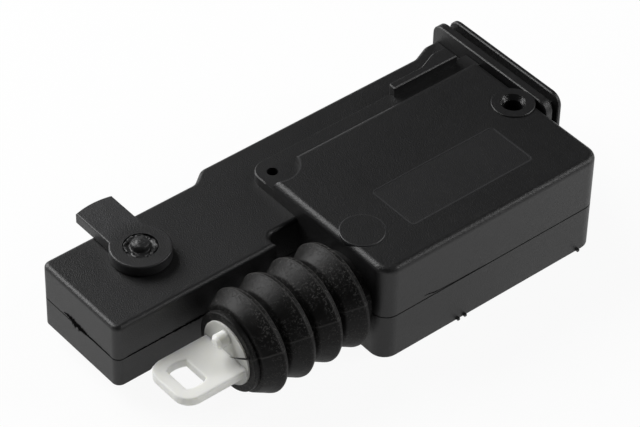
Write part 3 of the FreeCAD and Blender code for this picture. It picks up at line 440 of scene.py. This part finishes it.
def fold_dust_and_highlight(paint, folds, patches, specks):
    """Dust in a band before each fold's crest and along the mould lines, and a painted highlight along the
    mould's parting.
    """
    first, pitch, centre, parting = folds
    along = (paint.axis(0) - first) * (1 / pitch)
    y = paint.axis(1) - centre.y
    z = paint.axis(2) - centre.z
    side = y * math.sin(parting) - z * math.cos(parting)
    out = y * math.cos(parting) + z * math.sin(parting)
    above = side.step(-0.2 * MM, 0.3 * MM)
    band = (along + 0.32).fraction()
    band = band.step(0.0, 0.26) * band.step(0.50, 0.42)
    dust_and_highlight = specks * band * (0.25 + 0.6 * above)
    # Painted highlight: a pale line along the mould's parting, where the raised line catches the light.
    dust_and_highlight = dust_and_highlight.largest(0.3 * abs(side).step(0.28 * MM, 0.10 * MM) * out.step(0, MM))
    for place in RIDGES:
        away = abs((along - place * MM / pitch + 0.5).fraction() - 0.5) * (pitch / MM)
        dust_and_highlight = dust_and_highlight.largest(away.step(0.22, 0.08) * above * (0.1 + 0.35 * patches))
    return dust_and_highlight


def nylon(name, colour, collar=1.0):
    """Milky nylon: light passes a little way in, with faint clouds and a soft skin. The collar is darkened
    with painted shade where it sits in the bellows' mouth.
    """
    paint = Paint(name)
    clouds = paint.noise(6 * MM)
    skin = paint.noise(0.4 * MM)
    # Painted shade: the nylon behind the bellows' mouth keeps only the collar share of its white.
    mouth_shade = paint.axis(0).step(MOUTH - 0.6 * MM, MOUTH - 0.1 * MM)
    milk = paint.mix(clouds, scaled(colour, 0.96), scaled(colour, 1.03))
    paint.fix(
        base_color=paint.mix(mouth_shade * (1 - collar), milk, (0.0, 0.0, 0.0)),
        roughness=0.34 + 0.1 * clouds,
        normal=paint.bump(skin, 0.006 * MM),
        subsurface_weight=0.7,
        subsurface_scale=2 * MM,
        subsurface_radius=(1, 1, 0.9),
    )
    return paint.material


def acetal(name):
    """Natural acetal of the gears: waxy and even."""
    paint = Paint(name)
    clouds = paint.noise(5 * MM, detail=3)
    paint.fix(
        base_color=paint.mix(clouds, (0.70, 0.68, 0.60), (0.78, 0.76, 0.69)),
        roughness=0.32 + 0.1 * clouds,
        normal=paint.bump(paint.noise(0.3 * MM), 0.005 * MM),
    )
    return paint.material


def metal(name, colour, roughness, stretch):
    """Drawn or ground metal: fine lines along the piece, small changes of colour."""
    paint = Paint(name)
    lines = paint.noise(0.4 * MM, detail=4, roughness=0.7, stretch=stretch)
    tone = paint.noise(5 * MM, detail=3, roughness=0.6)
    paint.fix(
        base_color=paint.mix(tone, scaled(colour, 0.85), scaled(colour, 1.1)),
        metallic=1.0,
        roughness=roughness + 0.16 * lines,
        normal=paint.bump(lines, 0.008 * MM),
    )
    return paint.material


def board_laminate(name):
    """Green laminate of the switch board, with its woven glass just visible."""
    paint = Paint(name)
    weave = paint.noise(0.6 * MM, stretch=(1, 6, 1)) * paint.noise(0.6 * MM, stretch=(6, 1, 1))
    paint.fix(
        base_color=paint.mix(weave, (0.02, 0.09, 0.04), (0.04, 0.16, 0.07)),
        roughness=0.35 + 0.15 * weave,
        normal=paint.bump(weave, 0.015 * MM),
    )
    return paint.material


def seam_shadow(name):
    """The dull dark of a gap that is too deep to see into."""
    paint = Paint(name)
    soot = paint.noise(0.8 * MM, detail=3, roughness=0.7)
    paint.fix(
        base_color=paint.mix(soot, (0.0006, 0.0006, 0.0006), (0.003, 0.003, 0.003)),
        roughness=0.8 + 0.2 * soot,
        specular_ior_level=0.02,
    )
    return paint.material


# Shapes


def new_piece(name, mesh, material, body, slot_name, *replaced):
    """Makes a mesh a piece that rides on a body."""
    mesh.normal_update()
    data = bpy.data.meshes.new(name)
    mesh.to_mesh(data)
    mesh.free()
    piece = bpy.data.objects.new(name, data)
    bpy.context.scene.collection.objects.link(piece)
    data.materials.append(material)
    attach(piece, body)
    if replaced:
        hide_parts(*replaced)
    return piece


def smooth_by_angle(mesh, degrees):
    """Shades the faces smooth, apart from edges that turn by more than an angle."""
    limit = math.radians(degrees)
    for face in mesh.faces:
        face.smooth = True
    for edge in mesh.edges:
        edge.smooth = len(edge.link_faces) == 2 and edge.calc_face_angle(math.pi) < limit


def paint_node(node, material):
    """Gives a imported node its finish."""
    data = NODES[node].data
    data.materials.clear()
    data.materials.append(material)


def rounded(line, size, steps=4):
    """The line with its corners rounded, each over a distance on both sides."""
    most = 0.45
    result = [line[0]]
    for before, here, after in zip(line, line[1:], line[2:]):
        here = Vector(here)
        before = Vector(before) - here
        after = Vector(after) - here
        start = here + before * min(most, size / before.length)
        stop = here + after * min(most, size / after.length)
        for i in range(steps + 1):
            t = i / steps
            point = start * (1 - t) ** 2 + here * 2 * t * (1 - t) + stop * t ** 2
            result.append(tuple(point))
    return result + [line[-1]]


def finer(line, longest):
    """The line with points added where they lie far apart."""
    result = [line[0]]
    for (x0, r0), (x1, r1) in zip(line, line[1:]):
        count = max(1, math.ceil(math.hypot(x1 - x0, r1 - r0) / longest))
        for i in range(1, count + 1):
            result.append((x0 + (x1 - x0) * i / count, r0 + (r1 - r0) * i / count))
    return result


def radius_at(line, x):
    """Radius of a line of rising x at a station."""
    for (x0, r0), (x1, r1) in zip(line, line[1:]):
        if x0 <= x <= x1 and x1 > x0:
            return r0 + (r1 - r0) * (x - x0) / (x1 - x0)
    return 0


def revolve(mesh, points, centre, axis, steps):
    """Turns a line of points about an axis through a centre."""
    verts = [mesh.verts.new(point) for point in points]
    edges = [mesh.edges.new(pair) for pair in zip(verts, verts[1:])]
    bmesh.ops.spin(
        mesh, geom=verts + edges, cent=centre, axis=axis, angle=math.tau, steps=steps, use_merge=True,
    )
    bmesh.ops.remove_doubles(mesh, verts=mesh.verts, dist=MERGE)
    bmesh.ops.recalc_face_normals(mesh, faces=mesh.faces)


def make_post(material):
    """The lever's post with its knobby top and the ragged ring where its head was melted."""
    centre = Vector((*LEVER_AXIS, 0)) * MM
    line = finer(rounded(POST_LINE, 0.25), 0.12)
    mesh = bmesh.new()
    revolve(mesh, [centre + Vector((r, 0, z)) * MM for r, z in line], centre, (0, 0, 1), steps=120)
    for vert in mesh.verts:
        melt(vert, centre)
    bmesh.ops.recalc_face_normals(mesh, faces=mesh.faces)
    smooth_by_angle(mesh, 50)
    new_piece("melted_post", mesh, material, "housing", "lever_plastic", "lever_post")


def melt(vert, centre):
    """Moves a point of the post as its melted head sagged, most of all in the ring round its foot."""
    most_out = 0.05
    fade = 0.3
    out = vert.co - centre
    out.z = 0
    above = vert.co.z / MM - MELT_START
    if above <= 0 or out.length < 0.05 * MM:
        return
    strength = min(1, above / fade)
    lumps = noise.noise(vert.co / (1.6 * MM)) + 0.4 * noise.noise(vert.co / (0.7 * MM))
    ring = min(1, max(0, out.length / MM - MELT_RING_R))
    spread = min(most_out, (0.14 + 0.3 * ring) * lumps - 0.12 * ring)
    vert.co += out.normalized() * spread * strength * MM
    rough = noise.noise(vert.co / (1.2 * MM) + Vector((7, 3, 1)))
    rough += 0.6 * ring * noise.noise(vert.co / (0.5 * MM))
    vert.co.z += (0.08 + 0.24 * ring) * strength * MM * rough


def make_leg_rim(material):
    """The leg's near wall below the solid's underside, where the eye's edge meets it in the picture."""
    low, high = (Vector(corner) * MM for corner in LEG_RIM)
    mesh = bmesh.new()
    bmesh.ops.create_cube(mesh, size=1)
    for vert in mesh.verts:
        for i in range(3):
            vert.co[i] = high[i] if vert.co[i] > 0 else low[i]
    new_piece("leg_rim", mesh, material, "housing", "housing_plastic")


def between(points, step):
    """The line of (point, half width) with stations added at a step in millimetres."""
    result = []
    for (a, wa), (b, wb) in zip(points, points[1:]):
        a, b = Vector(a), Vector(b)
        count = max(1, math.ceil((b - a).length / step))
        for i in range(count):
            t = i / count
            result.append((a.lerp(b, t), wa + (wb - wa) * t))
    return result + [(Vector(points[-1][0]), points[-1][1])]


def ragged_strip(mesh, line, facing):
    """Adds a thin ragged strip along a line of (point, half width), standing just off a wall."""
    front = Vector(facing) * 0.05 * MM
    back = front * 0.2
    up = Vector((0, 0, 1))
    rows = []
    for i, (point, half) in enumerate(line):
        point = Vector(point) * MM
        top, bottom = (half * MM * (1 + ragged(i, edge)) for edge in (0.3, 7.7))
        rows.append([mesh.verts.new(point + up * h + off) for off in (back, front) for h in (top, -bottom)])
    for a, b in zip(rows, rows[1:]):
        for i, j in ((0, 1), (1, 3), (3, 2), (2, 0)):
            mesh.faces.new((a[i], a[j], b[j], b[i]))
    for row in (rows[0], rows[-1]):
        mesh.faces.new((row[0], row[1], row[3], row[2]))


def ragged(i, edge):
    """How far a station's edge strays from its half width, as a share of it."""
    return 1.3 * noise.noise(Vector((i * 0.83, 5, edge)))


def make_seam_gaps():
    """Dark ragged strips of painted shade where the weld of the two shells has not closed."""
    mesh = bmesh.new()
    ragged_strip(mesh, between(END_GASH, step=0.15), facing=(-1, 0, 0))
    ragged_strip(mesh, between(SIDE_GAP, step=0.35), facing=(0, -1, 0))
    ragged_strip(mesh, between(BOX_SCAR, step=0.3), facing=(0, -1, 0))
    bmesh.ops.recalc_face_normals(mesh, faces=mesh.faces)
    new_piece("seam_gaps", mesh, seam_shadow("seam_shadow"), "housing", "housing_plastic")


# Operators


class DressHousing(bpy.types.Operator):
    """Finish the two shells, the connector and the lever in moulded plastic"""

    bl_idname = "actuator.dress_housing"
    bl_label = "Dress housing"

    def execute(self, context):
        looks = context.scene.actuator_housing
        colour = tuple(looks.colour)
        texture = (looks.roughness, looks.grain, looks.relief)
        # The housing plastic carries the pale patch and painted highlights along edges on the top.
        plastic = moulded_plastic("housing_plastic", colour, *texture, cover_patch_and_highlights)
        for node in ("housing_base", "housing_cover", "connector_shroud"):
            paint_node(node, plastic)
        lever = moulded_plastic("lever_plastic", scaled(colour, 1.3), *texture, lever_marks)
        paint_node("retaining_lever", lever)
        make_post(moulded_plastic("post_plastic", scaled(colour, 1.6), *texture))
        make_leg_rim(plastic)
        make_seam_gaps()
        return {"FINISHED"}


class DressInside(bpy.types.Operator):
    """Finish the motor, the gears, the board, the stops and the terminals"""

    bl_idname = "actuator.dress_inside"
    bl_label = "Dress inside"

    def execute(self, context):
        gear = acetal("gear_acetal")
        steel = metal("pin_steel", (0.55, 0.55, 0.56), roughness=0.22, stretch=(8, 8, 1))
        can = metal("can_steel", (0.6, 0.6, 0.6), roughness=0.3, stretch=(1, 8, 8))
        brass = metal("brass", (0.75, 0.6, 0.3), roughness=0.25, stretch=(1, 8, 8))
        cap = acetal("cap_plastic")
        pads = rubber("pad_rubber", tuple(context.scene.actuator_bellows.colour))
        board = board_laminate("board_laminate")
        finishes = {
            gear: ("rack_gear", "crown_gear"),
            steel: ("rack_gear_pin", "crown_gear_pin", "motor_shaft"),
            can: ("motor_can",),
            cap: ("motor_cap",),
            brass: (
                "motor_pinion", "shaft_bush", "wiper_spring", "terminal_1", "terminal_2",
                "terminal_3", "terminal_4", "motor_lead_1", "motor_lead_2",
            ),
            pads: ("stop_pad_front", "stop_pad_rear"),
            board: ("switch_board",),
        }
        for material, nodes in finishes.items():
            for node in nodes:
                paint_node(node, material)
        return {"FINISHED"}


class DressSlider(bpy.types.Operator):
    """Finish the slider and its eye in milky nylon"""

    bl_idname = "actuator.dress_slider"
    bl_label = "Dress slider"

    def execute(self, context):
        looks = context.scene.actuator_nylon
        white = tuple(looks.colour)
        paint_node("slider_rod", nylon("rod_nylon", white, looks.collar))
        paint_node("eye_tab", nylon("eye_nylon", white))
        return {"FINISHED"}


class MakeBellows(bpy.types.Operator):
    """Make the rubber bellows with its folds, lip and fine mould lines"""

    bl_idname = "actuator.make_bellows"
    bl_label = "Make bellows"

    steps = 180
    crease = 60
    parting = math.radians(155)

    def execute(self, context):
        looks = context.scene.actuator_bellows
        low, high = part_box("bellows")
        centre = Vector((0, (low.y + high.y) / 2, (low.z + high.z) / 2))
        folds = (MOUTH + looks.first, looks.pitch, centre, self.parting)
        material = rubber("bellows_rubber", tuple(looks.colour), folds)
        self.make_lip(centre, material)
        outer = finer(rounded(self.outer_line(looks), 0.35 * MM), 0.14 * MM)
        inner = rounded(self.inner_line(looks), 0.2 * MM)
        mesh = bmesh.new()
        self.turn(mesh, outer + inner, centre)
        self.cut_along_parting(mesh, centre)
        self.mould(mesh, centre, outer, looks)
        smooth_by_angle(mesh, self.crease)
        piece = new_piece("bellows_folds", mesh, material, "housing", "bellows_rubber", "bellows")
        keep = 1 - STROKE / (BOX_FACE - FOLDS_START)
        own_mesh(piece)
        return {"FINISHED"}

    def turn(self, mesh, line, centre):
        """Turns a closed outline of (x, radius) about the rod."""
        points = [(x, centre.y + r, centre.z) for x, r in line + line[:1]]
        revolve(mesh, points, centre, (1, 0, 0), self.steps)

    def make_lip(self, centre, material):
        """Makes the lip that grips the rod's groove, so it moves with the rod and keeps its thickness."""
        mesh = bmesh.new()
        outline = (*rounded(LIP_OUTSIDE, 0.35), *LIP_INSIDE)
        self.turn(mesh, [(MOUTH + x * MM, r * MM) for x, r in outline], centre)
        self.add_sliver(mesh)
        bmesh.ops.recalc_face_normals(mesh, faces=mesh.faces)
        smooth_by_angle(mesh, self.crease)
        new_piece("bellows_lip", mesh, material, "slider", "bellows_rubber")

    def add_sliver(self, mesh):
        """Adds the sliver of rubber that hangs from the lip over the nylon."""
        down = Vector((0.35, 0.2, -1)).normalized()
        out = Vector((-0.6, -0.6, 0.3)).normalized()
        rows = []
        for point, half, thick in SLIVER:
            corners = ((half, thick), (half, -thick), (-half, -thick), (-half, thick))
            rows.append([mesh.verts.new((Vector(point) + down * d + out * o) * MM) for d, o in corners])
        for a, b in zip(rows, rows[1:]):
            for i in range(4):
                j = (i + 1) % 4
                mesh.faces.new((a[i], a[j], b[j], b[i]))
        mesh.faces.new(rows[0])
        mesh.faces.new(rows[-1])

    def crests(self, looks):
        """Stations of the folds' crests."""
        return [MOUTH + looks.first + fold * looks.pitch for fold in range(FOLDS)]

    def fold_line(self, looks, shape, depth):
        """The folds' line of (x, radius), set in by a depth."""
        line = []
        for crest in self.crests(looks):
            for x, drop in shape:
                r = looks.valley if drop is None else looks.crest - drop * MM
                line.append((crest + x * MM, r - depth))
        return line

    def outer_line(self, looks):
        """Folds behind the lip that rise on a long slope and fall steeply, then the cuff."""
        folds = self.fold_line(looks, OUTER_FOLD, 0)
        return [(FOLDS_START, LIP_R * MM), *folds[1:], (BOX_FACE, looks.valley)]

    def inner_line(self, looks):
        """The wall's inside, one wall under the outer line, then the bore over the rod's groove."""
        folds = self.fold_line(looks, INNER_FOLD, WALL * MM)
        cuff = [(BOX_FACE, CUFF_BORE_R * MM), (folds[-1][0], CUFF_BORE_R * MM)]
        bore = [(MOUTH + x * MM, r * MM) for x, r in ROD_BORE]
        return cuff + folds[:1:-1] + bore + [(FOLDS_START, GROOVE_BORE_R * MM)]

    def cut_along_parting(self, mesh, centre):
        """Gives the mesh close lines beside the mould's parting."""
        reach = 0.1
        for offset in (-1.6, -0.8, 0, 0.8, 1.6):
            angle = self.parting + math.radians(offset)
            out = Vector((0, math.cos(angle), math.sin(angle)))
            near = [f for f in mesh.faces if self.angle_from(f.calc_center_median(), centre, angle) < reach]
            geometry = set(near)
            for face in near:
                geometry.update(face.edges)
                geometry.update(face.verts)
            bmesh.ops.bisect_plane(
                mesh, geom=list(geometry), dist=MERGE, plane_co=centre, plane_no=Vector((1, 0, 0)).cross(out),
            )

    def angle_from(self, point, centre, angle):
        """The angle about the rod between a point and a direction."""
        here = math.atan2(point.z - centre.z, point.y - centre.y)
        return abs((here - angle + math.pi) % math.tau - math.pi)

    def mould(self, mesh, centre, outer, looks):
        """Raises the mould lines and makes the rubber a little uneven."""
        ridge_width = 0.13 * MM
        parting_width = 0.16 * MM
        back_side = -0.6
        start, stop = PARTING_SPAN
        crests = self.crests(looks)
        stations = [crest + place * MM for crest in crests for place in RIDGES]
        for vert in mesh.verts:
            out = vert.co - centre
            out.x = 0
            r = out.length
            out.normalize()
            if abs(r - radius_at(outer, vert.co.x)) > 0.03 * MM:
                continue
            across = max(math.exp(-(((vert.co.x - x) / ridge_width) ** 2)) for x in stations)
            beside = self.angle_from(vert.co, centre, self.parting) * r
            above = back_side < math.atan2(out.z, out.y) < self.parting
            lift = looks.ridge * across if above else 0
            if any(start < (vert.co.x - crest) / MM < stop for crest in crests):
                lift = max(lift, 1.2 * looks.ridge * math.exp(-((beside / parting_width) ** 2)))
            sway = noise.noise(vert.co / (6 * MM)) + 0.35 * noise.noise(vert.co / (1.4 * MM))
            inside = min(1, max(0, (r - LIP_R * MM) / MM))
            vert.co += out * (lift + looks.unevenness * (sway - 0.5) * inside)


class MakeStage(bpy.types.Operator):
    """Make the floor, the lights and the camera at the photograph's angle"""

    bl_idname = "actuator.make_stage"
    bl_label = "Make stage"

    azimuth = math.radians(-40.548)
    elevation = math.radians(41.906)
    roll = math.radians(1.453)
    target = (-53.9, 3.45, 9.2)
    aside = 0.5566
    raised = 8.137
    distance = 683.41
    floor_size = 4
    lamps_aim = (-0.05, 0, 0)

    def execute(self, context):
        looks = context.scene.actuator_stage
        self.camera(context, looks)
        self.floor(tuple(looks.floor))
        self.world(context, looks.world)
        self.lamp("key", place=(-0.32, 0.72, 0.55), size=0.8, power=11.5)
        self.lamp("fill", place=(0.7, -0.5, 0.5), size=0.5, power=4.5)
        context.scene.view_settings.view_transform = "Standard"
        return {"FINISHED"}

    def camera(self, context, looks):
        """Places the camera by the angles solved from the photograph."""
        level = math.cos(self.elevation)
        back = Vector((
            math.sin(self.azimuth) * level, -math.cos(self.azimuth) * level, math.sin(self.elevation),
        ))
        right = Vector((0, 0, 1)).cross(back).normalized()
        up = back.cross(right)
        side = math.cos(self.roll) * right + math.sin(self.roll) * up
        top = -math.sin(self.roll) * right + math.cos(self.roll) * up
        target = Vector(self.target) + self.aside * side + self.raised * top
        data = bpy.data.cameras.new("camera")
        data.lens = looks.focal
        data.sensor_width = 36
        camera = bpy.data.objects.new("camera", data)
        context.scene.collection.objects.link(camera)
        turn = Matrix((side, top, back)).transposed().to_4x4()
        camera.matrix_world = Matrix.Translation((target + self.distance * back) * MM) @ turn
        context.scene.camera = camera

    def floor(self, colour):
        """Makes the pale floor. The camera and the reflections see it as a bright card, with painted light
        that makes it brighter towards +x in reflections.
        """
        mesh = bmesh.new()
        bmesh.ops.create_grid(mesh, x_segments=1, y_segments=1, size=self.floor_size)
        data = bpy.data.meshes.new("floor")
        mesh.to_mesh(data)
        mesh.free()
        floor = bpy.data.objects.new("floor", data)
        bpy.context.scene.collection.objects.link(floor)
        paint = Paint("floor_card")
        paint.fix(base_color=colour, roughness=0.9, specular_ior_level=0.0)
        paths = paint.tree.nodes.new("ShaderNodeLightPath")
        camera, glossy, through = (
            Value(paint, paths.outputs[f"Is {kind} Ray"]) for kind in ("Camera", "Glossy", "Transmission")
        )
        glow = paint.tree.nodes.new("ShaderNodeEmission")
        glow.inputs["Color"].default_value = (1, 1, 1, 1)
        blend = paint.tree.nodes.new("ShaderNodeMixShader")
        # Painted light: reflections see the floor brighter towards +x, as under an uneven light.
        right = paint.axis(0).step(-0.15, 0.05)
        seen = camera * 0.93 + glossy * (0.47 + 0.34 * right) + through * 0.8
        paint.tree.links.new(seen.socket, blend.inputs[0])
        paint.tree.links.new(paint.shader.outputs[0], blend.inputs[1])
        paint.tree.links.new(glow.outputs[0], blend.inputs[2])
        paint.tree.links.new(blend.outputs[0], paint.output.inputs["Surface"])
        data.materials.append(paint.material)

    def world(self, context, strength):
        """Lights the scene evenly from all round."""
        world = bpy.data.worlds.new("studio")
        world.use_nodes = True
        background = world.node_tree.nodes["Background"]
        background.inputs["Color"].default_value = (1, 1, 1, 1)
        background.inputs["Strength"].default_value = strength
        context.scene.world = world

    def lamp(self, name, place, size, power):
        """Adds a round soft lamp that points at the part."""
        data = bpy.data.lights.new(name, "AREA")
        data.shape = "DISK"
        data.size = size
        data.energy = power
        lamp = bpy.data.objects.new(name, data)
        bpy.context.scene.collection.objects.link(lamp)
        lamp.location = place
        aim = Vector(self.lamps_aim) - Vector(place)
        lamp.rotation_euler = aim.to_track_quat("-Z", "Y").to_euler()


OPERATORS = (DressHousing, DressInside, DressSlider, MakeBellows, MakeStage)


class ActuatorPanel(bpy.types.Panel):
    """Lists the actuator's pieces and their looks"""

    bl_idname = "VIEW3D_PT_lock_actuator"
    bl_label = "Lock Actuator"
    bl_space_type = "VIEW_3D"
    bl_region_type = "UI"
    bl_category = "Lock Actuator"

    def draw(self, context):
        for operator in OPERATORS:
            self.layout.operator(operator.bl_idname)
        for name, group in GROUPS:
            box = self.layout.box()
            for key in group.__annotations__:
                box.prop(getattr(context.scene, name), key)


def register():
    for name, group in GROUPS:
        bpy.utils.register_class(group)
        setattr(bpy.types.Scene, name, bpy.props.PointerProperty(type=group))
    for cls in (*OPERATORS, ActuatorPanel):
        bpy.utils.register_class(cls)


def unregister():
    for cls in (ActuatorPanel, *reversed(OPERATORS)):
        bpy.utils.unregister_class(cls)
    for name, group in reversed(GROUPS):
        delattr(bpy.types.Scene, name)
        bpy.utils.unregister_class(group)


def main():
    register()
    bpy.ops.actuator.make_stage()
    bpy.ops.actuator.dress_housing()
    bpy.ops.actuator.dress_inside()
    bpy.ops.actuator.dress_slider()
    bpy.ops.actuator.make_bellows()


if __name__ == "__main__":
    main()
